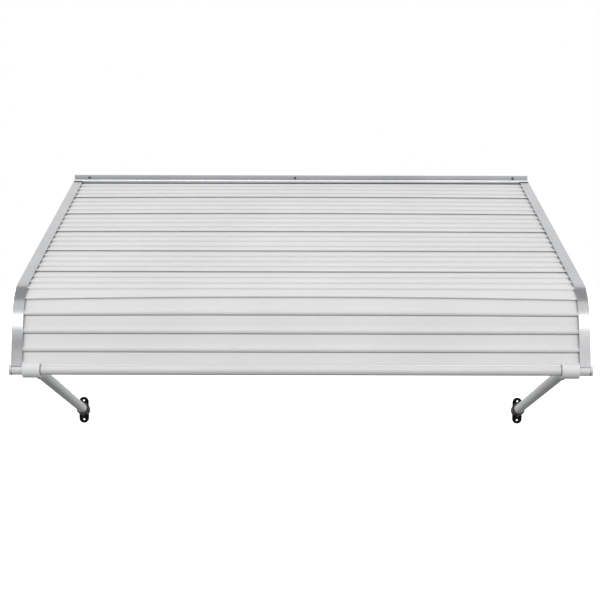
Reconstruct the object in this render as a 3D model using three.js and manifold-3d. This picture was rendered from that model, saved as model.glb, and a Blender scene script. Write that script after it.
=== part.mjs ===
// An aluminium door canopy: stepped roof pans and a front pan held in two side frames, a wall header
// above, a round front bar below, and two tube arms that run back to brackets on the wall.
// Millimetres. X runs along the wall, +Y goes into the wall, +Z is up, and the origin is the centre of
// the header's back face, so the canopy stands out towards -Y.
import * as THREE from "three";
import { mergeVertices } from "three/addons/utils/BufferGeometryUtils.js";
import Module from "manifold-3d";

const wasm = await Module();
wasm.setup();

// Overall sizes
const canopyWidth = 1524;
const fitGap = 0.3;

// Side profile of the frames' outer face: a straight roof, a round nose and a straight leaning front
const roofPitch = THREE.MathUtils.degToRad(13.5);
const roofLength = 979;
const noseRadius = 127;
const frontLean = THREE.MathUtils.degToRad(15);
const frontLength = 129;
const noseSteps = 14;

// Wall header: one extrusion with a wall flange, a hood over the pans and a leg under the frames
const headerHeight = 52;
const headerWall = 2;
const hoodDepth = 26;
const hoodTop = 11;
const hoodLip = 8.7;
const hoodNoseRadius = 1.8;
const legLength = 32;
const roofStartHeight = 6;

// Side frame extrusion: face flange, outer web, the shelf that carries the pans, and a toe
const frameFace = 28;
const frameDepth = 26;
const frameWall = 2;
const shelfWidth = 20;
const toeWidth = 14;
const earWall = 3;

// Stepped pans: flats that rise to a rounded nose and fall back to the next groove
const sheet = 0.8;
const stepRise = 5;
const noseRun = 11;
const foldRoom = 0.15;
const stepsPerPan = 4;
const roofPans = 6;
const firstPanLead = 7;
const frontPanDrop = 70;
const frontStep = 48.5;
const hookLength = 9;
const hookRise = 2.4;
const lipCover = 1.2;
const lipRise = 1.6;
const frontFlats = 4;

// Front bar and its end caps
const barRadius = 13.35;
const barWall = 1.6;
const barOverhang = 4;
const capThickness = 3;
const capRim = 0.25;
const capPlug = 14;

// Support arms, the collars that carry them on the bar, and the wall brackets
const armRadius = 14.3;
const armWall = 1.5;
const armStart = 17;
const collarLength = 46;
const collarWall = 7.35;
const collarChamfer = 1.5;
const collarFrameGap = 2;
const bossWall = 2.9;
const bossLength = 48;
const bossOffset = 14;
const armSplay = 50;
const bracketHeight = -780;
const flangeWidth = 33;
const flangeHeight = 91;
const flangeThickness = 5;
const flangeHoleRadius = 3.4;
const flangeHoleSpacing = 66;
const countersinkDepth = 2.4;
const cupLength = 50;
const cupRadius = 21.5;
const cupFloor = 14;
const bushingWall = 2.3;
const bushingLength = 26;
const bushingLip = 1.2;
const bushingEase = 0.5;

// Fasteners
const wallScrewInset = 50;
const wallScrewRoom = 1;
const middleScrewX = -20;
const wallScrewRadius = 2.4;
const wallScrewHead = 4.5;
const wallScrewHeadHeight = 3;
const frameScrewRadius = 1.7;
const frameScrewHead = 3.4;
const setScrewRadius = 2.2;
const setScrewHead = 4;
const frameScrewTip = 3;
const collarScrewShift = 4;
const screwHeadHeight = 2.2;
const smallSides = 16;
const roundSides = 36;

// Cuts run this far past the face that they open
const overcut = 2;

// Materials
const panWhite = new THREE.MeshStandardMaterial({ color: 0xeceae5, roughness: 0.45, metalness: 0.1 });
const millAluminium = new THREE.MeshStandardMaterial({ color: 0xc9ccd0, roughness: 0.38, metalness: 0.85 });
const barWhite = new THREE.MeshStandardMaterial({ color: 0xe3e5e6, roughness: 0.35, metalness: 0.35 });
const collarWhite = new THREE.MeshStandardMaterial({ color: 0xf2f2ef, roughness: 0.5, metalness: 0.0 });
const armGrey = new THREE.MeshStandardMaterial({ color: 0xb9bcc0, roughness: 0.42, metalness: 0.7 });
const bracketBlack = new THREE.MeshStandardMaterial({ color: 0x17181a, roughness: 0.5, metalness: 0.2 });
const bushingBlack = new THREE.MeshStandardMaterial({ color: 0x0e0e0f, roughness: 0.7, metalness: 0.0 });
const screwSteel = new THREE.MeshStandardMaterial({ color: 0x6f7276, roughness: 0.35, metalness: 0.9 });

const canopy = new THREE.Group();

// Turning a closed mesh into a solid that can be joined and cut, and back
function solidOf(geometry) {
  const bare = geometry.clone();
  bare.deleteAttribute("normal");
  bare.deleteAttribute("uv");
  const merged = mergeVertices(bare, 1e-4);
  const corners = merged.index.array;
  const triangles = [];
  for (let i = 0; i < corners.length; i += 3) {
    const [a, b, c] = [corners[i], corners[i + 1], corners[i + 2]];
    if (a !== b && b !== c && c !== a) triangles.push(a, b, c);
  }
  return new wasm.Manifold(new wasm.Mesh({
    numProp: 3,
    vertProperties: merged.attributes.position.array,
    triVerts: Uint32Array.from(triangles),
  }));
}

function geometryOf(solid) {
  const mesh = solid.getMesh();
  const geometry = new THREE.BufferGeometry();
  geometry.setAttribute("position", new THREE.BufferAttribute(mesh.vertProperties, 3));
  geometry.setIndex(new THREE.BufferAttribute(mesh.triVerts, 1));
  geometry.computeVertexNormals();
  return geometry;
}

function joined(solids) {
  return solids.reduce((whole, next) => whole.add(next));
}

function addPiece(name, geometry, material) {
  const piece = new THREE.Mesh(geometry, material);
  piece.name = name;
  canopy.add(piece);
  return piece;
}

// Extrusions along the wall: the outline is in Y and Z, and runs from x0 to x1
const shapeToWall = new THREE.Matrix4().makeBasis(
  new THREE.Vector3(0, 1, 0), new THREE.Vector3(0, 0, 1), new THREE.Vector3(1, 0, 0));

function alongWall(outline, x0, x1) {
  const low = Math.min(x0, x1);
  const high = Math.max(x0, x1);
  const settings = { depth: high - low, bevelEnabled: false };
  const geometry = new THREE.ExtrudeGeometry(new THREE.Shape(outline), settings);
  return geometry.applyMatrix4(shapeToWall).translate(low, 0, 0);
}

// Turned pieces: the profile is [radius, height] pairs, and the axis leaves "from" along "direction"
function turned(profile, sides) {
  return new THREE.LatheGeometry(profile.map(([r, y]) => new THREE.Vector2(r, y)), sides);
}

function axisMatrix(from, direction) {
  const turn = new THREE.Quaternion().setFromUnitVectors(new THREE.Vector3(0, 1, 0), direction);
  return new THREE.Matrix4().compose(from, turn, new THREE.Vector3(1, 1, 1));
}

function rod(radius, length, from, direction, sides = roundSides) {
  const profile = [[0, 0], [radius, 0], [radius, length], [0, length]];
  return turned(profile, sides).applyMatrix4(axisMatrix(from, direction));
}

function addTurned(name, profile, sides, from, direction, material) {
  const piece = addPiece(name, turned(profile, sides), material);
  piece.applyMatrix4(axisMatrix(from, direction));
  return piece;
}

// The side profile as a path: s is the way along the frames' outer face from the hood to the bar, and
// h is the height above that face
const noseTurn = Math.PI / 2 - frontLean - roofPitch;
const noseArc = noseRadius * noseTurn;
const roofStartOut = hoodDepth - headerWall;

function onPath(s, h) {
  const roofEnd = Math.min(s, roofLength);
  const arcAngle = THREE.MathUtils.clamp((s - roofLength) / noseRadius, 0, noseTurn);
  const angle = roofPitch + arcAngle;
  const frontRun = Math.max(0, s - roofLength - noseArc);
  const out = roofStartOut + roofEnd * Math.cos(roofPitch) - noseRadius * Math.sin(roofPitch)
    + (noseRadius + h) * Math.sin(angle) + frontRun * Math.cos(angle);
  const up = roofStartHeight - roofEnd * Math.sin(roofPitch) - noseRadius * Math.cos(roofPitch)
    + (noseRadius + h) * Math.cos(angle) - frontRun * Math.sin(angle);
  return new THREE.Vector2(-out, up);
}

function pathBand(s0, s1, hTop, hBottom) {
  const stations = [s0];
  for (let i = 0; i <= noseSteps; i += 1) {
    const s = roofLength + (noseArc * i) / noseSteps;
    if (s > s0 && s < s1) stations.push(s);
  }
  stations.push(s1);
  const top = stations.map((s) => onPath(s, hTop));
  const bottom = stations.map((s) => onPath(s, hBottom)).reverse();
  return [...top, ...bottom];
}

// Levels through the frame, below its outer face
const shelfBend = Math.sqrt(1 + (stepRise / noseRun) ** 2);
const grooveLevel = -frameWall - fitGap - stepRise - foldRoom * 2;
const shelfTop = grooveLevel - sheet * shelfBend - foldRoom - fitGap;
const barLevel = -frameDepth / 2;
const barStation = roofLength + noseArc + frontLength;
const barAxis = onPath(barStation, barLevel);
const barHole = barRadius + fitGap;
const halfWidth = canopyWidth / 2;
const acrossWall = new THREE.Vector3(1, 0, 0);
const intoWall = new THREE.Vector3(0, 1, 0);

function barPoint(x) {
  return new THREE.Vector3(x, barAxis.x, barAxis.y);
}

// Wall header, with a round front edge on its hood and clearance holes for the screws
const wallScrewX = halfWidth - wallScrewInset;
const screwHeight = hoodTop + wallScrewHead + wallScrewRoom;
const headerScrews = { left: -wallScrewX, middle: middleScrewX, right: wallScrewX };
const legTop = -frameDepth - fitGap;
const frameScrewStation = 3;
const frameScrewX = halfWidth - frameWall - (toeWidth - frameWall) / 2;

function headerSolid() {
  const flange = [
    new THREE.Vector2(0, -headerHeight / 2), new THREE.Vector2(0, headerHeight / 2),
    new THREE.Vector2(-headerWall, headerHeight / 2), new THREE.Vector2(-headerWall, -headerHeight / 2),
  ];
  const hood = new THREE.Path();
  hood.moveTo(-headerWall / 2, hoodTop - headerWall);
  hood.lineTo(-headerWall / 2, hoodTop);
  hood.lineTo(-hoodDepth + hoodNoseRadius, hoodTop);
  hood.absarc(-hoodDepth + hoodNoseRadius, hoodTop - hoodNoseRadius, hoodNoseRadius,
    Math.PI / 2, Math.PI, false);
  hood.lineTo(-hoodDepth, hoodTop - hoodLip);
  hood.lineTo(-hoodDepth + headerWall, hoodTop - hoodLip);
  hood.lineTo(-hoodDepth + headerWall, hoodTop - headerWall);
  const legRoot = (headerWall / 2 - roofStartOut - legTop * Math.sin(roofPitch)) / Math.cos(roofPitch);
  const leg = pathBand(legRoot, legRoot + legLength, legTop, legTop - headerWall);
  const parts = [flange, hood.getPoints(5), leg];
  let header = joined(parts.map((outline) => solidOf(alongWall(outline, -halfWidth, halfWidth))));
  for (const x of Object.values(headerScrews)) {
    const start = new THREE.Vector3(x, -2 * headerWall, screwHeight);
    const hole = rod(wallScrewRadius + fitGap, 3 * headerWall, start, intoWall, smallSides);
    header = header.subtract(solidOf(hole));
  }
  for (const side of [-1, 1]) header = header.subtract(frameScrewHole(side));
  return header;
}

// The screw through the header's leg and the frame's toe lies square to the roof
const roofUp = new THREE.Vector3(0, -Math.sin(roofPitch), Math.cos(roofPitch));

function frameScrewSeat(side) {
  const seat = onPath(frameScrewStation, legTop - headerWall);
  return new THREE.Vector3(side * frameScrewX, seat.x, seat.y);
}

function frameScrewHole(side) {
  const start = frameScrewSeat(side).addScaledVector(roofUp, -headerWall);
  return solidOf(rod(frameScrewRadius + fitGap, 2 * headerWall + 2 * frameWall, start, roofUp, smallSides));
}

addPiece("wall_header", geometryOf(headerSolid()), millAluminium);

for (const [place, x] of Object.entries(headerScrews)) {
  const seat = headerWall + fitGap;
  const crown = wallScrewHeadHeight;
  const profile = [
    [0, 0], [wallScrewRadius, 0], [wallScrewRadius, seat], [wallScrewHead, seat],
    [wallScrewHead, seat + crown * 0.45], [wallScrewHead * 0.72, seat + crown * 0.85], [0, seat + crown],
  ];
  addTurned(`header_screw_${place}`, profile, smallSides, new THREE.Vector3(x, 0, screwHeight),
    intoWall.clone().negate(), screwSteel);
}

// Side frames: four bands of one extrusion, coped under the hood and over the bar, with a round ear
// through which the bar passes
function frameSolid(side) {
  const outer = side * halfWidth;
  const band = (width, hTop, hBottom) => solidOf(
    alongWall(pathBand(-roofStartOut, barStation, hTop, hBottom), outer, outer - side * width));
  const toeTop = -frameDepth + frameWall;
  let frame = joined([
    band(frameFace, 0, -frameWall),
    band(frameWall, 0, -frameDepth),
    band(shelfWidth, shelfTop, shelfTop - frameWall),
    band(toeWidth, toeTop, -frameDepth),
  ]);
  const earFrom = barPoint(Math.min(outer, outer - side * frameWall));
  frame = frame.add(solidOf(rod(barHole + earWall, frameWall, earFrom, acrossWall)));
  frame = frame.subtract(solidOf(rod(barHole, 2 * frameFace, barPoint(outer - frameFace), acrossWall)));
  const reach = roofStartOut * 4;
  const hoodRoom = [
    new THREE.Vector2(reach, hoodTop - hoodLip - fitGap), new THREE.Vector2(reach, headerHeight * 2),
    new THREE.Vector2(-hoodDepth - fitGap, headerHeight * 2),
    new THREE.Vector2(-hoodDepth - fitGap, hoodTop - hoodLip - fitGap),
  ];
  const wallRoom = [
    new THREE.Vector2(reach, -headerHeight * 2), new THREE.Vector2(reach, headerHeight * 2),
    new THREE.Vector2(-headerWall - fitGap, headerHeight * 2),
    new THREE.Vector2(-headerWall - fitGap, -headerHeight * 2),
  ];
  for (const room of [hoodRoom, wallRoom]) {
    frame = frame.subtract(solidOf(alongWall(room, outer + side * frameFace, outer - side * 2 * frameFace)));
  }
  return frame.subtract(frameScrewHole(side));
}

const sides = { left: -1, right: 1 };

for (const [place, side] of Object.entries(sides)) {
  addPiece(`side_frame_${place}`, geometryOf(frameSolid(side)), millAluminium);
  const tip = headerWall + fitGap + frameWall + frameScrewTip;
  const profile = [
    [0, -fitGap - screwHeadHeight], [frameScrewHead * 0.8, -fitGap - screwHeadHeight],
    [frameScrewHead, -fitGap - screwHeadHeight * 0.6], [frameScrewHead, -fitGap],
    [frameScrewRadius, -fitGap], [frameScrewRadius, tip], [0, tip + frameScrewRadius],
  ];
  addTurned(`frame_screw_${place}`, profile, smallSides, frameScrewSeat(side), roofUp, screwSteel);
}

// A folded sheet: its top line is given along the path, and the sheet lies under it
function sheetOutline(topLine) {
  const under = topLine.map((point, i) => {
    const before = topLine[Math.max(0, i - 1)];
    const after = topLine[Math.min(topLine.length - 1, i + 1)];
    const lead = point.clone().sub(before);
    const trail = after.clone().sub(point);
    if (lead.length() === 0) lead.copy(trail);
    if (trail.length() === 0) trail.copy(lead);
    const normalA = new THREE.Vector2(lead.y, -lead.x).normalize();
    const normalB = new THREE.Vector2(trail.y, -trail.x).normalize();
    const mean = normalA.clone().add(normalB).normalize();
    return point.clone().addScaledVector(mean, sheet / mean.dot(normalA));
  });
  return [...topLine, ...under.reverse()].map(({ x, y }) => onPath(x, y));
}

// One step of a pan: the flat rises from the groove, and the nose rolls over into the riser
function stepLine(start, pitch, endRise, endShort) {
  const flatEnd = new THREE.Vector2(start + pitch - noseRun, grooveLevel + stepRise);
  const slope = stepRise / (pitch - noseRun);
  const nose = new THREE.CubicBezierCurve(
    flatEnd,
    flatEnd.clone().add(new THREE.Vector2(noseRun * 0.42, noseRun * 0.42 * slope)),
    new THREE.Vector2(start + pitch - noseRun * 0.3, grooveLevel + stepRise * 0.55 + endRise),
    new THREE.Vector2(start + pitch - endShort, grooveLevel + endRise));
  return nose.getPoints(6);
}

// A pan hooks up under the lip of the pan above and ends in a lip over the pan below
function panLine(start, pitch, steps) {
  const line = [
    new THREE.Vector2(start - hookLength - hookRise * 0.5, grooveLevel + hookRise),
    new THREE.Vector2(start - hookLength, grooveLevel),
    new THREE.Vector2(start, grooveLevel),
  ];
  for (let k = 0; k < steps; k += 1) {
    const last = k === steps - 1;
    line.push(...stepLine(start + k * pitch, pitch, last ? lipRise : 0, last ? lipCover : 0));
  }
  return line;
}

const panEnd = halfWidth - frameWall - fitGap;
const frontPanStart = roofLength + frontPanDrop;
const roofStep = (frontPanStart + firstPanLead) / (roofPans * stepsPerPan);
const roofCover = roofStep * stepsPerPan;

for (let i = 0; i < roofPans; i += 1) {
  const outline = sheetOutline(panLine(i * roofCover - firstPanLead, roofStep, stepsPerPan));
  addPiece(`roof_pan_${i + 1}`, alongWall(outline, -panEnd, panEnd), panWhite);
}

// The front pan ends on the bar in a folded edge, and is notched round the two collars
const collarRadius = barHole + collarWall;
const collarOuter = halfWidth - frameFace - collarFrameGap;
const collarInner = collarOuter - collarLength;

function frontPanSolid() {
  const start = frontPanStart;
  const fullSteps = frontFlats - 1;
  const line = panLine(start, frontStep, fullSteps + 1).slice(0, 3);
  for (let k = 0; k < fullSteps; k += 1) line.push(...stepLine(start + k * frontStep, frontStep, 0, 0));
  const foldAt = barStation - barRadius - fitGap - sheet;
  const lastStart = start + fullSteps * frontStep;
  const foldRise = Math.min(stepRise, (stepRise * (foldAt - lastStart)) / (frontStep - noseRun));
  line.push(new THREE.Vector2(foldAt - sheet, grooveLevel + foldRise));
  line.push(new THREE.Vector2(foldAt, grooveLevel + foldRise - sheet));
  line.push(new THREE.Vector2(foldAt, grooveLevel));
  let pan = solidOf(alongWall(sheetOutline(line), -panEnd, panEnd));
  for (const side of [-1, 1]) {
    const from = side > 0 ? collarInner - 2 * fitGap : -collarOuter - 2 * fitGap;
    const notch = rod(collarRadius + 2 * fitGap, collarLength + 4 * fitGap, barPoint(from), acrossWall);
    pan = pan.subtract(solidOf(notch));
  }
  return pan;
}

addPiece("front_pan", geometryOf(frontPanSolid()), panWhite);

// Front bar and its pressed-in end caps
const barHalf = halfWidth + barOverhang;
const barBore = barRadius - barWall;
const barProfile = [
  [barBore, 0], [barRadius, 0], [barRadius, 2 * barHalf], [barBore, 2 * barHalf], [barBore, 0],
];
addTurned("front_bar", barProfile, roundSides, barPoint(-barHalf), acrossWall, barWhite);

for (const [place, side] of Object.entries(sides)) {
  const plug = barBore - fitGap;
  const rim = barRadius + capRim;
  const profile = [
    [0, -capPlug], [plug - 1, -capPlug], [plug, -capPlug + 1], [plug, fitGap], [rim, fitGap],
    [rim, fitGap + capThickness * 0.5], [rim - capThickness * 0.35, fitGap + capThickness * 0.85],
    [rim - capThickness, fitGap + capThickness], [0, fitGap + capThickness],
  ];
  addTurned(`bar_end_cap_${place}`, profile, roundSides, barPoint(side * barHalf),
    acrossWall.clone().multiplyScalar(side), collarWhite);
}

// Support arms: everything on an arm lies along the line from the bar's axis to the bracket
const armTopX = collarInner + collarLength / 2 - bossOffset;
const bracketX = armTopX + armSplay;
const wallCenter = (side) => new THREE.Vector3(side * bracketX, 0, bracketHeight);
const armTop = (side) => barPoint(side * armTopX);
const armDirection = (side) => wallCenter(side).sub(armTop(side)).normalize();
const armSpan = wallCenter(1).distanceTo(armTop(1));
const armHole = armRadius + fitGap;
const armEnd = armSpan - cupFloor - fitGap;

function alongArm(side, distance) {
  return armTop(side).addScaledVector(armDirection(side), distance);
}

// Square to the arm, and pointing down and back, for the screws that lock it
function underArm(side) {
  return new THREE.Vector3().crossVectors(armDirection(side), acrossWall).normalize();
}

// Collar: a sleeve that turns on the bar, with a socket for the arm cast on its back
function collarSolid(side) {
  const inner = side > 0 ? collarInner : -collarOuter;
  const sleeveProfile = [
    [0, 0], [collarRadius - collarChamfer, 0], [collarRadius, collarChamfer],
    [collarRadius, collarLength - collarChamfer], [collarRadius - collarChamfer, collarLength],
    [0, collarLength],
  ];
  const sleeve = turned(sleeveProfile, roundSides).applyMatrix4(axisMatrix(barPoint(inner), acrossWall));
  const bossRadius = armHole + bossWall;
  const bossProfile = [
    [0, 0], [bossRadius, 0], [bossRadius, bossLength - collarChamfer],
    [bossRadius - collarChamfer, bossLength], [0, bossLength],
  ];
  const boss = turned(bossProfile, roundSides).applyMatrix4(axisMatrix(armTop(side), armDirection(side)));
  const through = rod(barHole, canopyWidth, barPoint(side > 0 ? 0 : -canopyWidth), acrossWall);
  const socket = rod(armHole, bossLength, alongArm(side, armStart - fitGap), armDirection(side));
  return solidOf(sleeve).add(solidOf(boss)).subtract(solidOf(through)).subtract(solidOf(socket))
    .subtract(setScrewHole(side, collarScrewAt, bossRadius));
}

// Set screws stand square to the arm, and stop short of the tube that they lock
const collarScrewAt = (armStart + bossLength) / 2 + collarScrewShift;
const cupScrewAt = armSpan - cupLength + bushingLength + (cupLength - bushingLength - cupFloor) / 2;

function setScrewHole(side, distance, outer) {
  const start = alongArm(side, distance).addScaledVector(underArm(side), armRadius);
  return solidOf(rod(setScrewRadius + fitGap, outer, start, underArm(side), smallSides));
}

function addSetScrew(name, side, distance, outer) {
  const profile = [
    [0, armRadius + fitGap], [setScrewRadius, armRadius + fitGap], [setScrewRadius, outer + fitGap],
    [setScrewHead, outer + fitGap], [setScrewHead, outer + fitGap + screwHeadHeight * 0.6],
    [setScrewHead * 0.75, outer + fitGap + screwHeadHeight], [0, outer + fitGap + screwHeadHeight],
  ];
  addTurned(name, profile, smallSides, alongArm(side, distance), underArm(side), screwSteel);
}

// Wall bracket: a flange with round ends, and a cup that points along the arm
function bracketSolid(side) {
  const straight = (flangeHeight - flangeWidth) / 2;
  const outline = new THREE.Shape();
  outline.absarc(0, straight, flangeWidth / 2, 0, Math.PI, false);
  outline.absarc(0, -straight, flangeWidth / 2, Math.PI, 2 * Math.PI, false);
  const settings = { depth: flangeThickness, bevelEnabled: false, curveSegments: 12 };
  const flange = new THREE.ExtrudeGeometry(outline, settings).rotateX(Math.PI / 2);
  flange.translate(side * bracketX, 0, bracketHeight);
  const inward = armDirection(side);
  const cup = rod(cupRadius, cupLength + cupRadius, alongArm(side, armSpan - cupLength), inward);
  const low = bracketHeight - 2 * flangeHeight;
  const high = bracketHeight + 2 * flangeHeight;
  const behind = [
    new THREE.Vector2(0, low), new THREE.Vector2(flangeHeight, low),
    new THREE.Vector2(flangeHeight, high), new THREE.Vector2(0, high),
  ];
  const wallX = side * bracketX;
  let bracket = solidOf(flange).add(solidOf(cup));
  bracket = bracket.subtract(solidOf(alongWall(behind, wallX - flangeHeight, wallX + flangeHeight)));
  const mouth = alongArm(side, armSpan - cupLength - overcut);
  const bore = rod(armHole, cupLength - cupFloor + overcut, mouth, inward);
  const counterbore = rod(armHole + bushingWall, bushingLength + overcut, mouth, inward);
  bracket = bracket.subtract(solidOf(bore)).subtract(solidOf(counterbore));
  for (const end of [-1, 1]) {
    const hole = new THREE.Vector3(wallX, flangeThickness, bracketHeight + (end * flangeHoleSpacing) / 2);
    const back = intoWall.clone().negate();
    const wide = flangeHoleRadius + countersinkDepth;
    const sink = turned([
      [0, 0], [flangeHoleRadius, 0], [flangeHoleRadius, 2 * flangeThickness - countersinkDepth],
      [wide, 2 * flangeThickness], [wide, 3 * flangeThickness], [0, 3 * flangeThickness],
    ], smallSides);
    bracket = bracket.subtract(solidOf(sink.applyMatrix4(axisMatrix(hole, back))));
  }
  return bracket.subtract(setScrewHole(side, cupScrewAt, cupRadius));
}

for (const [place, side] of Object.entries(sides)) {
  addPiece(`arm_collar_${place}`, geometryOf(collarSolid(side)), collarWhite);
  addSetScrew(`collar_screw_${place}`, side, collarScrewAt, armHole + bossWall);
  const bore = armRadius - armWall;
  const tube = [
    [bore, armStart], [armRadius, armStart], [armRadius, armEnd], [bore, armEnd], [bore, armStart],
  ];
  addTurned(`support_arm_${place}`, tube, roundSides, armTop(side), armDirection(side), armGrey);
  addPiece(`wall_bracket_${place}`, geometryOf(bracketSolid(side)), bracketBlack);
  addSetScrew(`bracket_screw_${place}`, side, cupScrewAt, cupRadius);
  const mouth = armSpan - cupLength;
  const liner = armHole + bushingWall - fitGap;
  const lip = liner + bushingLip;
  const bushing = [
    [armHole, mouth - bushingLip - fitGap], [lip - bushingEase, mouth - bushingLip - fitGap],
    [lip, mouth - bushingLip], [lip, mouth - fitGap], [liner, mouth - fitGap],
    [liner, mouth + bushingLength - fitGap],
    [armHole, mouth + bushingLength - fitGap], [armHole, mouth - bushingLip - fitGap],
  ];
  addTurned(`arm_bushing_${place}`, bushing, roundSides, armTop(side), armDirection(side), bushingBlack);
}

export default canopy;
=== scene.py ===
# Looks of the aluminium door canopy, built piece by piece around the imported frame.
# Lengths are metres: X runs along the wall, +Y goes into the wall, +Z is up.
import math

import bmesh
import bpy
from mathutils import Matrix, Vector


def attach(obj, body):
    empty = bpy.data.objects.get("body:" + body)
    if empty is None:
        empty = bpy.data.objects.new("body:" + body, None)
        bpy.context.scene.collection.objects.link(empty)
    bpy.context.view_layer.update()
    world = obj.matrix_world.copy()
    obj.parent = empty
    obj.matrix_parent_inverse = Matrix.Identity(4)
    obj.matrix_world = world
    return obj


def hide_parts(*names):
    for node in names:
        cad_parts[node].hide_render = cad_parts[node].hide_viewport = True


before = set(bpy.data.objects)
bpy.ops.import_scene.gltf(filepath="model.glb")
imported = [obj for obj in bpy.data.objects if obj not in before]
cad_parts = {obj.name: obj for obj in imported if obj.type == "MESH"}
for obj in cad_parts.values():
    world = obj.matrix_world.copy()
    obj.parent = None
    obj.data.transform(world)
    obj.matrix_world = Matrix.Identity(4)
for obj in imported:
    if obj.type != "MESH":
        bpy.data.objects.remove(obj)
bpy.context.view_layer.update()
scene = bpy.context.scene

# Camera: in front of the canopy and a little above its header, tipped down, as the photograph was
# taken. The focal length is in pixels of the 600-pixel frame.
focal_px = 1390
frame_px = 600
camera_place = Vector((-0.0028, -4.6958, 0.2205))
camera_tip = math.radians(7.5)
camera_roll = math.radians(0.12)
camera_data = bpy.data.cameras.new("studio_camera")
camera_data.lens = focal_px / frame_px * camera_data.sensor_width
camera = bpy.data.objects.new("studio_camera", camera_data)
camera.location = camera_place
camera.rotation_mode = "QUATERNION"
tip = Matrix.Rotation(math.pi / 2 - camera_tip, 4, "X")
camera.rotation_quaternion = (tip @ Matrix.Rotation(camera_roll, 4, "Z")).to_quaternion()
scene.collection.objects.link(camera)
scene.camera = camera

# Studio: even white light from all round, one wide lamp above and in front, and a plain pale floor
# well below the canopy. The camera sees pure white behind the object.
ambient_light = 1.0
key_power = 30
key_width = 4.4
key_height = 1.1
key_place = Vector((0.0, -4.3, 1.76))
key_aim = Vector((0, -0.9, -0.3))
floor_level = -2.1
floor_half = 14
floor_white = (0.80, 0.80, 0.80, 1)
floor_lift = 0.75
scene.view_settings.view_transform = "Standard"


def link(tree, source, target):
    tree.links.new(source, target)


def add_node(tree, kind, **values):
    node = tree.nodes.new(kind)
    for name, value in values.items():
        setattr(node, name, value)
    return node


def add_math(tree, operation, first, second):
    node = add_node(tree, "ShaderNodeMath", operation=operation)
    for socket, value in zip(node.inputs, (first, second)):
        if isinstance(value, (int, float)):
            socket.default_value = value
        else:
            link(tree, value, socket)
    return node.outputs[0]


world = bpy.data.worlds.new("studio_world")
scene.world = world
world.use_nodes = True
sky = world.node_tree
sky.nodes.clear()
backdrop = add_node(sky, "ShaderNodeBackground")
backdrop.inputs["Color"].default_value = (1, 1, 1, 1)
backdrop.inputs["Strength"].default_value = ambient_light
link(sky, backdrop.outputs[0], add_node(sky, "ShaderNodeOutputWorld").inputs["Surface"])

lamp_data = bpy.data.lights.new("key_lamp", "AREA")
lamp_data.energy = key_power
lamp_data.shape = "RECTANGLE"
lamp_data.size = key_width
lamp_data.size_y = key_height
lamp = bpy.data.objects.new("key_lamp", lamp_data)
lamp.location = key_place
lamp.rotation_mode = "QUATERNION"
lamp.rotation_quaternion = (key_aim - key_place).to_track_quat("-Z", "Y")
scene.collection.objects.link(lamp)

floor_mesh = bpy.data.meshes.new("floor")
corner_signs = ((-1, -1), (1, -1), (1, 1), (-1, 1))
floor_corners = [(x * floor_half, y * floor_half, floor_level) for x, y in corner_signs]
floor_mesh.from_pydata(floor_corners, [], [(0, 1, 2, 3)])
floor = bpy.data.objects.new("floor", floor_mesh)
scene.collection.objects.link(floor)
floor_paint = bpy.data.materials.new("floor_paint")
floor_paint.use_nodes = True
tree = floor_paint.node_tree
tree.nodes.clear()
matte = add_node(tree, "ShaderNodeBsdfDiffuse")
matte.inputs["Color"].default_value = floor_white
glow = add_node(tree, "ShaderNodeEmission")
glow_rays = add_node(tree, "ShaderNodeLightPath")
glow_strength = add_math(tree, "MULTIPLY", glow_rays.outputs["Is Camera Ray"], floor_lift)
link(tree, glow_strength, glow.inputs["Strength"])
both = add_node(tree, "ShaderNodeAddShader")
link(tree, matte.outputs[0], both.inputs[0])
link(tree, glow.outputs[0], both.inputs[1])
link(tree, both.outputs[0], add_node(tree, "ShaderNodeOutputMaterial").inputs["Surface"])
floor_mesh.materials.append(floor_paint)

# Flags, out of the camera's sight: a dark one under the canopy keeps the floor's light off it, and
# lighter ones in front, low in front and overhead are there for the bare metal to reflect. Each has its
# place, size, facing and brightness, and whether it also shades what is near it.
flags = {
    "under": (Vector((0, -1.7, -1.82)), (6.2, 6.0), Vector((0, 0, 1)), 0.12, True),
    "overhead": (Vector((0, -0.55, 2.2)), (6.0, 2.3), Vector((0, 0, -1)), 0.48, False),
    "front": (Vector((-0.9, -6.2, 1.05)), (4.7, 1.0), Vector((0, 1, 0)), 0.40, True),
    "low": (Vector((-0.9, -6.2, -0.95)), (4.7, 3.0), Vector((0, 1, 0)), 0.80, True),
}


def add_flag(name, place, size, facing, brightness, shades):
    wide = Vector((size[0] / 2, 0, 0))
    tall = facing.cross(Vector((1, 0, 0))) * size[1] / 2
    mesh = bpy.data.meshes.new(f"{name}_flag")
    corners = [place - wide - tall, place + wide - tall, place + wide + tall, place - wide + tall]
    mesh.from_pydata([tuple(corner) for corner in corners], [], [(0, 1, 2, 3)])
    flag = bpy.data.objects.new(f"{name}_flag", mesh)
    scene.collection.objects.link(flag)
    flag.visible_camera = False
    flag.visible_shadow = shades
    flag.visible_diffuse = shades
    cloth = bpy.data.materials.new(f"{name}_flag_cloth")
    cloth.use_nodes = True
    tree = cloth.node_tree
    tree.nodes.clear()
    grey = add_node(tree, "ShaderNodeEmission")
    grey.inputs["Strength"].default_value = brightness
    link(tree, grey.outputs[0], add_node(tree, "ShaderNodeOutputMaterial").inputs["Surface"])
    mesh.materials.append(cloth)


for name, values in flags.items():
    add_flag(name, *values)

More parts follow.
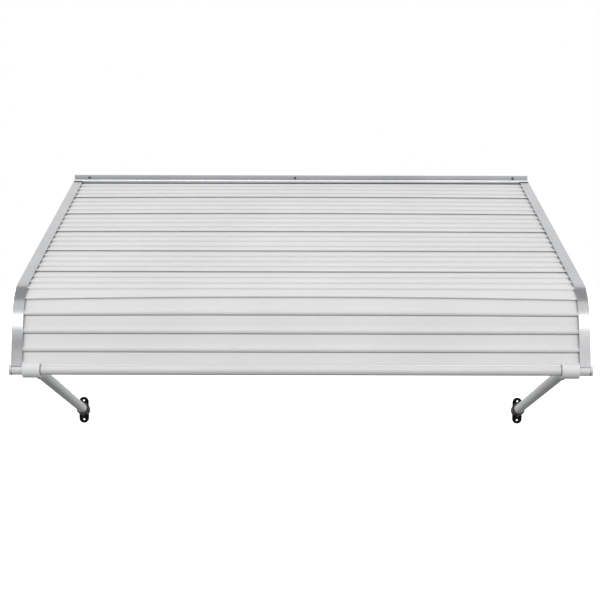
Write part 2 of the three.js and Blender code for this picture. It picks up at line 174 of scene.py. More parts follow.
# Side profile shared by the frames and the pans: a straight roof, a round nose and a leaning front.
# s runs along the frames' outer face from the hood to the bar, and h is the height above that face.
# The bent frames spring a little where the nose runs out into the front.
canopy_half = 0.762
gap = 0.0003
roof_pitch = math.radians(13.5)
roof_length = 0.979
nose_radius = 0.127
front_lean = math.radians(15)
front_length = 0.129
roof_start = Vector((-0.024, 0.006))
nose_turn = math.pi / 2 - front_lean - roof_pitch
nose_arc = nose_radius * nose_turn
bar_station = roof_length + nose_arc + front_length


def path_point(s, h):
    run = min(s, roof_length)
    angle = roof_pitch + min(max((s - roof_length) / nose_radius, 0), nose_turn)
    front = max(0, s - roof_length - nose_arc)
    out = run * math.cos(roof_pitch) - nose_radius * math.sin(roof_pitch)
    out += (nose_radius + h) * math.sin(angle) + front * math.cos(angle)
    up = -run * math.sin(roof_pitch) - nose_radius * math.cos(roof_pitch)
    up += (nose_radius + h) * math.cos(angle) - front * math.sin(angle)
    return roof_start.x - out, roof_start.y + up


swell_height = 0.0015
swell_start = 1.080
swell_peak = 1.135
swell_end = 1.225
swell_haste = 1.6


def bend_swell(s):
    rise = min(max((s - swell_start) / (swell_peak - swell_start), 0), 1)
    fall = min(max((s - swell_peak) / (swell_end - swell_peak), 0), 1)
    grown = rise * rise * (swell_haste - (swell_haste - 1) * rise)
    return swell_height * (grown - fall * fall * (3 - 2 * fall))


bend_stations = 48
front_stations = 19
station_step = 0.006


def path_stations(first, last):
    """Where a length needs a section: at its ends, round the bend and a little way down the front."""
    bend = [roof_length + nose_arc * i / bend_stations for i in range(bend_stations + 1)]
    bend += [bend[-1] + station_step * i for i in range(1, front_stations + 1)]
    margin = station_step / 4
    return [first] + [s for s in bend if first + margin < s < last - margin] + [last]


# Wall header: one aluminium extrusion, mill finish, screwed to the wall along its flange. Its hood
# covers the first pan's edge and ends in a bead, with a short lip set back below it between the
# frames. Its leg carries the frames from below.
header_height = 0.052
header_wall = 0.002
hood_depth = 0.026
hood_top = 0.011
bead_height = 0.0042
bead_tilt = 0.0007
lip_setback = 0.0020
lip_bottom = 0.0012
lip_wall = 0.0012
edge_round = 0.0006
leg_length = 0.032
frame_depth = 0.026
frame_face = 0.0295
mill_tone = (0.57, 0.575, 0.585, 1)
mill_dark = (0.40, 0.41, 0.43, 1)
mill_roughness = 0.22
mill_bump = 0.000004
line_stretch = (420, 2, 1)
# Painted shade under the header's hood and in the corner above it: how far back it reaches, how dark it
# gets, and its colour.
shade_reach = 0.0045
shade_under = 0.93
shade_above = 0.25
painted_shadow_black = (0.02, 0.02, 0.02, 1)
extrusion_sharp = 8


def group_tree(name, inputs, outputs):
    """A shader node group: inputs and outputs are (name, socket kind) pairs."""
    group = bpy.data.node_groups.new(name, "ShaderNodeTree")
    for socket_name, kind in inputs:
        group.interface.new_socket(socket_name, in_out="INPUT", socket_type=kind)
    for socket_name, kind in outputs:
        group.interface.new_socket(socket_name, in_out="OUTPUT", socket_type=kind)
    return group, group.nodes.new("NodeGroupInput"), group.nodes.new("NodeGroupOutput")


def add_noise(tree, vector, scale, detail=3.0, roughness=0.5):
    noise = add_node(tree, "ShaderNodeTexNoise")
    noise.inputs["Scale"].default_value = scale
    noise.inputs["Detail"].default_value = detail
    noise.inputs["Roughness"].default_value = roughness
    link(tree, vector, noise.inputs["Vector"])
    return noise.outputs["Fac"]


def add_range(tree, value, low, high, to_low, to_high):
    node = add_node(tree, "ShaderNodeMapRange")
    link(tree, value, node.inputs["Value"])
    for name, number in zip(("From Min", "From Max", "To Min", "To Max"), (low, high, to_low, to_high)):
        if isinstance(number, (int, float)):
            node.inputs[name].default_value = number
        else:
            link(tree, number, node.inputs[name])
    return node.outputs["Result"]


def color_mix(tree, factor, first, second):
    node = add_node(tree, "ShaderNodeMix", data_type="RGBA")
    sockets = [s for s in node.inputs if s.enabled]
    for socket, value in zip(sockets, (factor, first, second)):
        if isinstance(value, (int, float, tuple)):
            socket.default_value = value
        else:
            link(tree, value, socket)
    return [s for s in node.outputs if s.enabled][0]


def split_axes(tree, place):
    axes = add_node(tree, "ShaderNodeSeparateXYZ")
    link(tree, place, axes.inputs[0])
    return axes.outputs


def build_hood_shade():
    """Painted shade round the header: back from an edge under the hood, and in the corner above."""
    group, given, made = group_tree(
        "hood_shade",
        [("Place", "NodeSocketVector"), ("Edge", "NodeSocketFloat"), ("Lowest", "NodeSocketFloat")],
        [("Mask", "NodeSocketFloat")])
    axes = split_axes(group, given.outputs["Place"])
    depth = add_math(group, "SUBTRACT", axes["Y"], given.outputs["Edge"])
    back = add_range(group, depth, 0.0, shade_reach, 0.0, shade_under)
    under = add_range(group, axes["Z"], hood_top - header_wall * 0.2, hood_top - header_wall, 0.0, 1.0)
    raised = add_math(group, "GREATER_THAN", axes["Z"], given.outputs["Lowest"])
    inside = add_math(group, "LESS_THAN", axes["Y"], -header_wall * 0.75)
    under = add_math(group, "MULTIPLY", under, add_math(group, "MULTIPLY", raised, inside))
    corner = add_range(group, axes["Z"], header_height / 2 - header_wall, hood_top, 0.0, shade_above)
    above = add_math(group, "GREATER_THAN", axes["Z"], hood_top + header_wall * 0.1)
    corner = add_math(group, "MULTIPLY", corner, above)
    mask = add_math(group, "MAXIMUM", add_math(group, "MULTIPLY", back, under), corner)
    link(group, mask, made.inputs["Mask"])
    return group


hood_shade = build_hood_shade()


def build_drawn_metal():
    """Fine die lines along an extrusion or tube, cloudy oxide and a few handling marks."""
    group, given, made = group_tree(
        "drawn_metal",
        [("Along", "NodeSocketVector"), ("Place", "NodeSocketVector"), ("Tone", "NodeSocketColor"),
         ("Shade", "NodeSocketColor"), ("Roughness", "NodeSocketFloat"), ("Lines", "NodeSocketFloat")],
        [("Color", "NodeSocketColor"), ("Roughness", "NodeSocketFloat"), ("Height", "NodeSocketFloat")])
    stretch = add_node(group, "ShaderNodeMapping")
    stretch.inputs["Scale"].default_value = line_stretch
    link(group, given.outputs["Along"], stretch.inputs["Vector"])
    lines = add_noise(group, stretch.outputs[0], 1.0, 4.0, 0.6)
    clouds = add_noise(group, given.outputs["Place"], 5.0, 1.0, 0.4)
    marks = add_noise(group, given.outputs["Place"], 30.0, 2.0, 0.5)
    shade = add_range(group, clouds, 0.35, 0.75, 0.0, 0.35)
    streak = add_range(group, lines, 0.3, 0.7, 0.0, 0.25)
    amount = add_math(group, "ADD", shade, streak)
    color = color_mix(group, amount, given.outputs["Tone"], given.outputs["Shade"])
    link(group, color, made.inputs["Color"])
    spread = add_range(group, marks, 0.35, 0.7, -0.02, 0.04)
    rough = add_math(group, "ADD", given.outputs["Roughness"], spread)
    rough = add_math(group, "ADD", rough, add_range(group, lines, 0.2, 0.8, -0.03, 0.03))
    link(group, rough, made.inputs["Roughness"])
    link(group, add_math(group, "MULTIPLY", lines, given.outputs["Lines"]), made.inputs["Height"])
    return group


def finish_surface(name, group, values, bump, **shader_values):
    """A Principled material fed by one of the finish groups: colour, roughness and bump."""
    material = bpy.data.materials.new(name)
    material.use_nodes = True
    tree = material.node_tree
    tree.nodes.clear()
    coords = add_node(tree, "ShaderNodeTexCoord")
    finish = add_node(tree, "ShaderNodeGroup", node_tree=group)
    for socket_name, value in values.items():
        finish.inputs[socket_name].default_value = value
    if "Along" in finish.inputs:
        link(tree, coords.outputs["UV"], finish.inputs["Along"])
    link(tree, coords.outputs["Object"], finish.inputs["Place"])
    shader = add_node(tree, "ShaderNodeBsdfPrincipled")
    for socket_name, value in shader_values.items():
        shader.inputs[socket_name.replace("_", " ")].default_value = value
    relief = add_node(tree, "ShaderNodeBump")
    relief.inputs["Distance"].default_value = bump
    link(tree, finish.outputs["Height"], relief.inputs["Height"])
    link(tree, finish.outputs["Color"], shader.inputs["Base Color"])
    link(tree, finish.outputs["Roughness"], shader.inputs["Roughness"])
    link(tree, relief.outputs[0], shader.inputs["Normal"])
    link(tree, shader.outputs[0], add_node(tree, "ShaderNodeOutputMaterial").inputs["Surface"])
    return material


def only_node(material, kind):
    return next(node for node in material.node_tree.nodes if node.type == kind)


def place_mask(material, group, **levels):
    """A mask group set into a material and placed by the object's own coordinates."""
    mask = add_node(material.node_tree, "ShaderNodeGroup", node_tree=group)
    for socket_name, value in levels.items():
        mask.inputs[socket_name].default_value = value
    coords = only_node(material, "TEX_COORD")
    link(material.node_tree, coords.outputs["Object"], mask.inputs["Place"])
    return mask.outputs["Mask"]


def lay_over(material, mask, color):
    """Lays one more colour over a finished material, as far as mask says."""
    tree = material.node_tree
    base = only_node(material, "BSDF_PRINCIPLED").inputs["Base Color"]
    link(tree, color_mix(tree, mask, base.links[0].from_socket, color), base)


drawn_metal = build_drawn_metal()
mill_values = {"Tone": mill_tone, "Shade": mill_dark, "Roughness": mill_roughness, "Lines": 1.0}
mill_aluminium = finish_surface("mill_aluminium", drawn_metal, mill_values, mill_bump, Metallic=1.0)
# Painted shade: the header's metal is darkened under the hood and in the corner above it.
lay_over(mill_aluminium, place_mask(mill_aluminium, hood_shade, Edge=-0.0222, Lowest=-0.002),
         painted_shadow_black)


def face_outward(bm, volume_before, faces):
    """Turns the new closed shell's faces to look out of it."""
    if bm.calc_volume(signed=True) < volume_before:
        bmesh.ops.reverse_faces(bm, faces=faces)


def sweep(bm, rings, along):
    """Quads between rings of points, with UVs in metres: across the ring, and along the sweep."""
    volume = bm.calc_volume(signed=True)
    faces = []
    layer = bm.loops.layers.uv.verify()
    made = [[bm.verts.new(p) for p in ring] for ring in rings]
    count = len(rings[0])
    across = [0.0]
    for j in range(count):
        across.append(across[-1] + (Vector(rings[0][(j + 1) % count]) - Vector(rings[0][j])).length)
    for i in range(len(rings) - 1):
        for j in range(count):
            k = (j + 1) % count
            face = bm.faces.new((made[i][j], made[i][k], made[i + 1][k], made[i + 1][j]))
            faces.append(face)
            corners = ((j, i), (j + 1, i), (j + 1, i + 1), (j, i + 1))
            for loop, (u, v) in zip(face.loops, corners):
                loop[layer].uv = (across[u], along[v])
    faces.append(bm.faces.new(list(reversed(made[0]))))
    faces.append(bm.faces.new(made[-1]))
    face_outward(bm, volume, faces)
    return bm


def along_wall(bm, outline, xs):
    """An extrusion along the wall of an outline of (y, z) points."""
    return sweep(bm, [[(x, y, z) for y, z in outline] for x in xs], xs)


def round_corners(points, radius, steps=3):
    """A closed outline with each corner eased by a small arc. points are (a, b) pairs."""
    eased = []
    count = len(points)
    for i in range(count):
        corner = Vector(points[i])
        back = Vector(points[i - 1]) - corner
        ahead = Vector(points[(i + 1) % count]) - corner
        room = min(radius, back.length * 0.45, ahead.length * 0.45)
        start = corner + back.normalized() * room
        end = corner + ahead.normalized() * room
        for k in range(steps + 1):
            t = k / steps
            eased.append(tuple(start * (1 - t) ** 2 + corner * 2 * t * (1 - t) + end * t ** 2))
    return eased


def make_piece(name, bm, material, body, node, sharp=32):
    """Turns mesh data into a piece: smooth but for its sharp edges, on its body, for its node."""
    bmesh.ops.remove_doubles(bm, verts=bm.verts, dist=1e-6)
    for face in bm.faces:
        face.smooth = True
    for edge in bm.edges:
        edge.smooth = len(edge.link_faces) == 2 and edge.calc_face_angle(0) < math.radians(sharp)
    mesh = bpy.data.meshes.new(name)
    bm.to_mesh(mesh)
    bm.free()
    mesh.materials.append(material)
    piece = bpy.data.objects.new(name, mesh)
    scene.collection.objects.link(piece)
    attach(piece, body)
    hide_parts(node)


leg_drop = -frame_depth - gap
leg_root = header_wall / 2 - hood_depth + header_wall - leg_drop * math.sin(roof_pitch)
leg_root /= math.cos(roof_pitch)
flange_outline = [(0, -header_height / 2), (0, header_height / 2), (-header_wall, header_height / 2),
                  (-header_wall, -header_height / 2)]
hood_outline = [(-header_wall / 2, hood_top - header_wall), (-header_wall / 2, hood_top)]
hood_outline += [(-hood_depth + bead_tilt, hood_top), (-hood_depth, hood_top - bead_height)]
lip_face = -hood_depth + lip_setback
hood_outline += [(lip_face, hood_top - bead_height), (lip_face + lip_wall, hood_top - header_wall)]
lip_outline = [(lip_face, hood_top - bead_height), (lip_face, lip_bottom),
               (lip_face + lip_wall, lip_bottom), (lip_face + lip_wall, hood_top - header_wall)]
leg_outline = [path_point(leg_root, leg_drop), path_point(leg_root + leg_length, leg_drop),
               path_point(leg_root + leg_length, leg_drop - header_wall),
               path_point(leg_root, leg_drop - header_wall)]
header_bm = bmesh.new()
flange_outline = round_corners(flange_outline, edge_round)
leg_outline = round_corners(leg_outline, edge_round)
for outline in (flange_outline, hood_outline, leg_outline):
    along_wall(header_bm, outline, [-canopy_half, canopy_half])
along_wall(header_bm, lip_outline, [frame_face + gap - canopy_half, canopy_half - frame_face - gap])
make_piece("wall_header_look", header_bm, mill_aluminium, "canopy", "wall_header",
           extrusion_sharp)

# Side frames: aluminium extrusions bent round the nose, mill finish. The pans' ends sit in the slot
# under the face flange. The face runs up under the header's bead, the web goes on below the hood, and
# a round ear carries the bar.
frame_wall = 0.002
shelf_width = 0.020
toe_width = 0.014
ear_wall = 0.0008
bar_radius = 0.01335
step_rise = 0.005
sheet = 0.0008
nose_play = 0.0003
fold_play = 0.00015
groove_level = -frame_wall - gap - step_rise - nose_play
shelf_top = groove_level - sheet * 1.1 - fold_play - gap


def frame_section(web_top=None):
    """The frame's cross-section as (distance in from the outer face, height) pairs. Where its face is
    coped away, the web rises to web_top."""
    inner_top = shelf_top - frame_wall
    toe_top = -frame_depth + frame_wall
    lower = [(frame_wall, shelf_top), (shelf_width, shelf_top), (shelf_width, inner_top),
             (frame_wall, inner_top), (frame_wall, toe_top), (toe_width, toe_top),
             (toe_width, -frame_depth), (0, -frame_depth)]
    if web_top is None:
        return [(0, 0), (frame_face, 0), (frame_face, -frame_wall), (frame_wall, -frame_wall)] + lower
    return [(0, web_top), (frame_wall, web_top)] + lower


def turned(bm, profile, start, direction, sides=64):
    """A turned solid or ring: (radius, height) pairs round the axis from start along direction."""
    turn = Vector((0, 0, 1)).rotation_difference(direction).to_matrix()
    rings = []
    for i in range(sides + 1):
        angle = 2 * math.pi * i / sides
        spoke = Vector((math.cos(angle), math.sin(angle), 0))
        rings.append([start + turn @ (spoke * r + Vector((0, 0, z))) for r, z in profile])
    layer = bm.loops.layers.uv.verify()
    volume = bm.calc_volume(signed=True)
    faces = []
    made = [[bm.verts.new(p) for p in ring] for ring in rings[:-1]]
    count = len(profile)
    for i in range(sides):
        ahead = made[(i + 1) % sides]
        for j in range(count):
            k = (j + 1) % count
            if profile[j][0] == 0 and profile[k][0] == 0:
                continue
            face = bm.faces.new((made[i][j], made[i][k], ahead[k], ahead[j]))
            faces.append(face)
            reach = max(profile[j][0], profile[k][0])
            spots = ((i, j), (i, k), (i + 1, k), (i + 1, j))
            for loop, (a, b) in zip(face.loops, spots):
                loop[layer].uv = (2 * math.pi * a / sides * reach, profile[b][1])
    face_outward(bm, volume, faces)
    on_axis = [vert for ring in made for vert, (r, z) in zip(ring, profile) if r == 0]
    bmesh.ops.remove_doubles(bm, verts=on_axis, dist=1e-7)
    return bm


def combined(bm, tool, operation):
    """What comes of joining bm with the closed mesh in tool, or cutting bm by it. Both are used up."""
    objects = []
    for data in (bm, tool):
        mesh = bpy.data.meshes.new("shaping")
        data.to_mesh(mesh)
        data.free()
        item = bpy.data.objects.new("shaping", mesh)
        scene.collection.objects.link(item)
        objects.append(item)
    whole, cutter = objects
    modifier = whole.modifiers.new("shape", "BOOLEAN")
    modifier.object = cutter
    modifier.operation = operation
    modifier.solver = "MANIFOLD"
    result = bmesh.new()
    result.from_mesh(whole.evaluated_get(bpy.context.evaluated_depsgraph_get()).to_mesh())
    for item in objects:
        bpy.data.objects.remove(item)
    return result


def bar_point(x):
    y, z = path_point(bar_station, -frame_depth / 2)
    return Vector((x, y, z))


along_x = Vector((1, 0, 0))
bar_hole = bar_radius + gap
under_hood = -0.0155
face_start = -0.009
face_end = bar_station - 0.62 * bar_radius
foot_start = bar_station - frame_face
coped_web = shelf_top + 0.001


def rod_profile(radius, length):
    return [(0, 0), (radius, 0), (radius, length), (0, length)]


def frame_length(bm, side, first, last, web_top=None):
    section = round_corners(frame_section(web_top), edge_round)
    stations = path_stations(first, last)
    rings = []
    for s in stations:
        swell = bend_swell(s)
        rings.append([(side * (canopy_half - a), *path_point(s, h + swell)) for a, h in section])
    return sweep(bm, rings, stations)


def build_frame(side):
    hole = turned(bmesh.new(), rod_profile(bar_hole, 4 * frame_face),
                  bar_point(side * canopy_half - 2 * frame_face), along_x)
    foot = frame_length(bmesh.new(), side, foot_start, face_end)
    frame_length(foot, side, face_end, bar_station, 0)
    bm = combined(foot, hole, "DIFFERENCE")
    frame_length(bm, side, face_start, foot_start)
    frame_length(bm, side, under_hood, face_start, coped_web)
    inner = bar_point(side * canopy_half - (frame_wall if side > 0 else 0))
    rim = bar_hole + ear_wall
    ear = [(bar_hole, 0), (rim - edge_round, 0), (rim, edge_round), (rim, frame_wall - edge_round),
           (rim - edge_round, frame_wall), (bar_hole, frame_wall)]
    return turned(bm, ear, inner, along_x)


sides = {"left": -1, "right": 1}
for place, side in sides.items():
    make_piece(f"side_frame_look_{place}", build_frame(side), mill_aluminium, "canopy",
               f"side_frame_{place}", extrusion_sharp)

# Roof pans: roll-formed aluminium sheet with a baked off-white coat. Each has four flats that rise to
# a rounded nose, hooks up under the pan above and laps over the pan below, and crowns at mid-span.
steps_per_pan = 4
roof_pans = 6
roof_step = 0.044
front_step = 0.0485
first_pan_start = -0.003
roof_nose = 0.0065
front_nose = 0.0105
flare_run = 0.006
roof_flare = 0.55
front_flare = 0.25
hook_length = 0.009
hook_rise = 0.0022
mitre_limit = 0.6
lip_cover = 0.0016
lip_rise = 0.0026
roof_crease = 0.0007
front_crease = 0.0016
crease_width = 0.0022
pan_half = canopy_half - frame_wall - gap
span_steps = 36
pan_edge = canopy_half - frame_face
# Painted shade in the front pan's creases and along the frames: its strength, how far in from the frames
# it reaches, and how dark it gets.
crease_shade = 0.8
end_shade_reach = 0.005
end_dark = 0.6
pan_tone = (0.725, 0.725, 0.72, 1)
pan_shade = (0.675, 0.675, 0.67, 1)
pan_bump = 0.00004
painted_shade_grey = (0.16, 0.16, 0.155, 1)
sheet_sharp = 40


def build_baked_paint():
    """A baked coat: slow drift of tone, a little orange peel, and roughness that varies with both."""
    group, given, made = group_tree(
        "baked_paint",
        [("Place", "NodeSocketVector"), ("Tone", "NodeSocketColor"), ("Shade", "NodeSocketColor"),
         ("Roughness", "NodeSocketFloat"), ("Peel", "NodeSocketFloat")],
        [("Color", "NodeSocketColor"), ("Roughness", "NodeSocketFloat"), ("Height", "NodeSocketFloat")])
    drift = add_noise(group, given.outputs["Place"], 3.5, 4.0, 0.5)
    peel = add_noise(group, given.outputs["Place"], 420.0, 2.0, 0.5)
    speck = add_noise(group, given.outputs["Place"], 1500.0, 1.0, 0.5)
    amount = add_math(group, "ADD", add_range(group, drift, 0.3, 0.7, 0.0, 0.7),
                      add_range(group, speck, 0.62, 0.8, 0.0, 0.3))
    color = color_mix(group, amount, given.outputs["Tone"], given.outputs["Shade"])
    link(group, color, made.inputs["Color"])
    spread = add_range(group, drift, 0.3, 0.7, -0.04, 0.06)
    rough = add_math(group, "ADD", given.outputs["Roughness"], spread)
    rough = add_math(group, "ADD", rough, add_range(group, peel, 0.3, 0.7, -0.02, 0.03))
    link(group, rough, made.inputs["Roughness"])
    link(group, add_math(group, "MULTIPLY", peel, given.outputs["Peel"]), made.inputs["Height"])
    return group


baked_paint = build_baked_paint()
pan_values = {"Tone": pan_tone, "Shade": pan_shade, "Roughness": 0.36, "Peel": 1.0}
pan_paint = finish_surface("pan_paint", baked_paint, pan_values, pan_bump, Specular_IOR_Level=0.5)
# Painted shadow on the first pan where it runs in under the hood's lip.
lay_over(pan_paint, place_mask(pan_paint, hood_shade, Edge=-0.0318, Lowest=-0.015), painted_shadow_black)
# Painted shade, read from the sheet's vertices, darkens the front's creases and the low places by the
# frames.
shade_attribute = add_node(pan_paint.node_tree, "ShaderNodeAttribute", attribute_name="crease_shade")
lay_over(pan_paint, shade_attribute.outputs["Fac"], painted_shade_grey)


def bezier(points, count):
    made = []
    for k in range(count + 1):
        t = k / count
        weights = ((1 - t) ** 3, 3 * t * (1 - t) ** 2, 3 * t ** 2 * (1 - t), t ** 3)
        made.append(tuple(sum(w * p[axis] for w, p in zip(weights, points)) for axis in (0, 1)))
    return made


def flat_line(start, root):
    """Points along a flat, from its start in the groove to root, where it turns up to the nose."""
    run = root[0] - start
    rise = root[1] - groove_level
    return [(start + run * k / 4, groove_level + rise * k / 4) for k in range(1, 4)]


def step_line(start, pitch, nose_run, flare_start, crease_depth, last):
    """One step of a pan's top line: the flat, the rolled nose, the riser and the crease."""
    low = groove_level + (lip_rise if last else 0)
    top = (start + pitch - nose_run, groove_level + step_rise)
    root = (top[0] - flare_run, groove_level + step_rise * flare_start)
    end = (start + pitch - crease_width * 0.8, low - crease_depth)
    if last:
        end = (start + pitch - lip_cover, low)
    flare = bezier([root, (root[0] + flare_run * 0.5, root[1] + step_rise * 0.05),
                    (top[0] - flare_run * 0.4, top[1] - step_rise * 0.08), top], 5)[:-1]
    nose = bezier([top, (top[0] + nose_run * 0.35, top[1] + step_rise * 0.06),
                   (end[0] + nose_run * 0.05, low + step_rise * 0.75), end], 12)
    crease = [(start + pitch - crease_width * 0.25, groove_level - crease_depth * 0.9),
              (start + pitch, groove_level)]
    return flat_line(start, root) + flare + nose + ([] if last else crease)


def hook_line(start):
    hook_top = (start - hook_length - hook_rise * 0.5, groove_level + hook_rise)
    bend = bezier([hook_top, (start - hook_length - hook_rise * 0.2, groove_level),
                   (start - hook_length, groove_level), (start - hook_length * 0.7, groove_level)], 5)
    return bend + [(start, groove_level)]


def sheet_outline(top_line):
    """The closed section of a folded sheet that lies under its top line."""
    under = []
    last = len(top_line) - 1
    for i, point in enumerate(top_line):
        here = Vector(point)
        lead = here - Vector(top_line[max(0, i - 1)])
        trail = Vector(top_line[min(last, i + 1)]) - here
        lead = lead if lead.length else trail
        trail = trail if trail.length else lead
        before = Vector((lead.y, -lead.x)).normalized()
        after = Vector((trail.y, -trail.x)).normalized()
        mean = (before + after).normalized()
        under.append(tuple(here + mean * (sheet / max(mean.dot(before), mitre_limit))))
    return top_line + under[::-1]


roof_cover = roof_step * steps_per_pan
front_start = first_pan_start + roof_pans * roof_cover
nose_bow = 0.0085
nose_lift = 0.0022
bow_reach = 0.075
roof_crown = 0.0030
crown_start = -0.02
crown_rise = 0.12
crown_end = 0.75
crown_fall = 0.4


def pan_shift(s):
    """How far mid-span moves up the roof and off it: a light crown, and the bow at the nose lap."""
    near = max(0, 1 - abs(s - front_start) / bow_reach)
    near = near * near * (3 - 2 * near)
    fade = min(max((crown_end - s) / crown_fall, 0), 1)
    fade *= min(max((s - crown_start) / crown_rise, 0), 1)
    return -nose_bow * near, roof_crown * fade + nose_lift * near


def build_pan(outline):
    """The pan's section carried along the wall, with its crown. Shade is painted into the front's
    creases, and into the low places along the frames."""
    xs = [-pan_half + 2 * pan_half * i / span_steps for i in range(span_steps + 1)]
    xs = sorted(xs + [side * (pan_edge - reach) for side in (-1, 1) for reach in (0, end_shade_reach)])
    rings = []
    for x in xs:
        crown = 1 - (x / pan_half) ** 2
        ring = []
        for s, h in outline:
            ds, dh = pan_shift(s)
            ring.append((x, *path_point(s + ds * crown, h + dh * crown)))
        rings.append(ring)
    bm = sweep(bmesh.new(), rings, xs)
    layer = bm.verts.layers.float.new("crease_shade")
    bm.verts.ensure_lookup_table()
    for j, (s, h) in enumerate(outline[:len(outline) // 2]):
        creased = crease_shade if h < groove_level - front_crease * 0.6 else 0
        low = end_dark * min(max(1 - (h - groove_level) / (step_rise * 0.6), 0), 1)
        for i, x in enumerate(xs):
            near = min(max((abs(x) - pan_edge) / end_shade_reach + 1, 0), 1)
            bm.verts[i * len(outline) + j][layer] = max(creased, low * near)
    return bm


for i in range(roof_pans):
    start = first_pan_start + i * roof_cover
    line = hook_line(start)
    for k in range(steps_per_pan):
        line += step_line(start + k * roof_step, roof_step, roof_nose, roof_flare, roof_crease,
                          k == steps_per_pan - 1)
    make_piece(f"roof_pan_look_{i + 1}", build_pan(sheet_outline(line)), pan_paint, "canopy",
               f"roof_pan_{i + 1}", sheet_sharp)

# Front pan: the same sheet with longer, deeper steps. It hangs down to the bar, ends in a folded edge
# just above it, and is notched round the two collars.
front_flats = 4
collar_wall = 0.00735
collar_radius = bar_hole + collar_wall
collar_length = 0.046
collar_outer = canopy_half - 0.030
collar_inner = collar_outer - collar_length
fold_at = bar_station - bar_radius - gap - sheet
line = hook_line(front_start)
for k in range(front_flats - 1):
    line += step_line(front_start + k * front_step, front_step, front_nose, front_flare, front_crease,
                      False)
last_start = front_start + (front_flats - 1) * front_step
fold_rise = step_rise * front_flare * (fold_at - last_start) / (front_step - front_nose - flare_run)
fold_level = groove_level + fold_rise
line += flat_line(last_start, (fold_at, fold_level))
line += bezier([(fold_at - 2 * sheet, fold_level), (fold_at, fold_level), (fold_at, fold_level),
                (fold_at, fold_level - 2 * sheet)], 5)
line.append((fold_at, groove_level))
front_bm = build_pan(sheet_outline(line))
for side in sides.values():
    start_x = collar_inner if side > 0 else -collar_outer
    notch = turned(bmesh.new(), rod_profile(collar_radius + 2 * gap, collar_length + 4 * gap),
                   bar_point(start_x - 2 * gap), along_x)
    front_bm = combined(front_bm, notch, "DIFFERENCE")
make_piece("front_pan_look", front_bm, pan_paint, "canopy", "front_pan", sheet_sharp)

# Front bar: a drawn aluminium tube with a thin white coat. It is put through the frames' ears, and the
# arms' collars turn on it. A thin line of painted shade lies against each collar's inner end.
bar_wall = 0.0016
bar_half = canopy_half + 0.004
bar_bore = bar_radius - bar_wall
bar_tone = (0.72, 0.725, 0.735, 1)
bar_shade = (0.62, 0.625, 0.635, 1)
bar_bump = 0.000006
bar_sides = 96
# Painted shade line on the bar at each collar's inner end: its width, strength and colour.
shade_line_width = 0.003
shade_line_cover = 0.75
shade_line_dark = (0.03, 0.03, 0.03, 1)


def mask_tree(name):
    """A mask group, with its place input and that place's X as if both sides were the right one."""
    group, given, made = group_tree(name, [("Place", "NodeSocketVector")], [("Mask", "NodeSocketFloat")])
    across = add_math(group, "ABSOLUTE", split_axes(group, given.outputs["Place"])["X"], 0.0)
    return group, given.outputs["Place"], across, made.inputs["Mask"]


def build_collar_shade_line():
    group, place, across, mask = mask_tree("collar_shade_line")
    near = add_range(group, across, collar_inner - shade_line_width, collar_inner - shade_line_width / 2,
                     0.0, shade_line_cover)
    outside = add_math(group, "LESS_THAN", across, (collar_inner + collar_outer) / 2)
    link(group, add_math(group, "MULTIPLY", near, outside), mask)
    return group


bar_values = {"Tone": bar_tone, "Shade": bar_shade, "Roughness": 0.34, "Lines": 1.0}
bar_paint = finish_surface("bar_paint", drawn_metal, bar_values, bar_bump, Metallic=0.0)
# Painted shade: a thin dark line on the bar where it goes into each collar.
lay_over(bar_paint, place_mask(bar_paint, build_collar_shade_line()), shade_line_dark)
bar_profile = [(bar_bore, 0), (bar_radius, 0), (bar_radius, 2 * bar_half), (bar_bore, 2 * bar_half)]
bar_bm = turned(bmesh.new(), bar_profile, bar_point(-bar_half), along_x, bar_sides)
make_piece("front_bar_look", bar_bm, bar_paint, "canopy", "front_bar")

# End caps: white moulded plugs, pressed into the ends of the bar. Each has a domed head as wide as the
# bar, over a shank that fills the bore.
cap_thickness = 0.003
cap_seam = 0.00002
cap_plug = 0.014
plug_ease = 0.001
collar_tone = (0.75, 0.755, 0.76, 1)
collar_shade = (0.69, 0.695, 0.70, 1)
collar_bump = 0.00008
collar_values = {"Tone": collar_tone, "Shade": collar_shade, "Roughness": 0.42, "Peel": 1.0}
collar_paint = finish_surface("collar_paint", baked_paint, collar_values, collar_bump, Metallic=0.0)


def domed(radius, low, high, steps=8):
    """Profile points of a shallow dome from the rim at low to the axis at high."""
    points = []
    for k in range(steps):
        angle = math.pi / 2 * k / steps
        points.append((radius * math.cos(angle), low + (high - low) * math.sin(angle)))
    return points + [(0, high)]


for place, side in sides.items():
    plug = bar_bore - gap
    profile = [(0, -cap_plug), (plug - plug_ease, -cap_plug), (plug, -cap_plug + plug_ease),
               (plug, cap_seam), (bar_radius, cap_seam)]
    profile += domed(bar_radius, gap + cap_thickness * 0.4, gap + cap_thickness)
    bm = turned(bmesh.new(), profile, bar_point(side * bar_half), along_x * side)
    make_piece(f"bar_end_cap_look_{place}", bm, collar_paint, "canopy",
               f"bar_end_cap_{place}")

# Arm collars: white cast sleeves that turn on the bar. Each has a boss on its back, bored as a socket
# for its arm.
arm_radius = 0.0151
arm_top_x = 0.695
arm_start = 0.017
boss_wall = 0.0021
boss_length = 0.048
collar_chamfer = 0.0015
arm_hole = arm_radius + gap
arm_sides = 72
bracket_center = Vector((0.745, 0, -0.780))


def arm_top(side):
    return bar_point(side * arm_top_x)


def wall_center(side):
    return Vector((side * bracket_center.x, bracket_center.y, bracket_center.z))


def arm_direction(side):
    return (wall_center(side) - arm_top(side)).normalized()


def arm_turned(side, profile):
    """A turned piece on the arm's axis, with its heights measured from the bar."""
    return turned(bmesh.new(), profile, arm_top(side), arm_direction(side), arm_sides)


arm_span = (wall_center(1) - arm_top(1)).length


def along_arm(side, distance):
    return arm_top(side) + arm_direction(side) * distance


def under_arm(side):
    return arm_direction(side).cross(along_x).normalized()


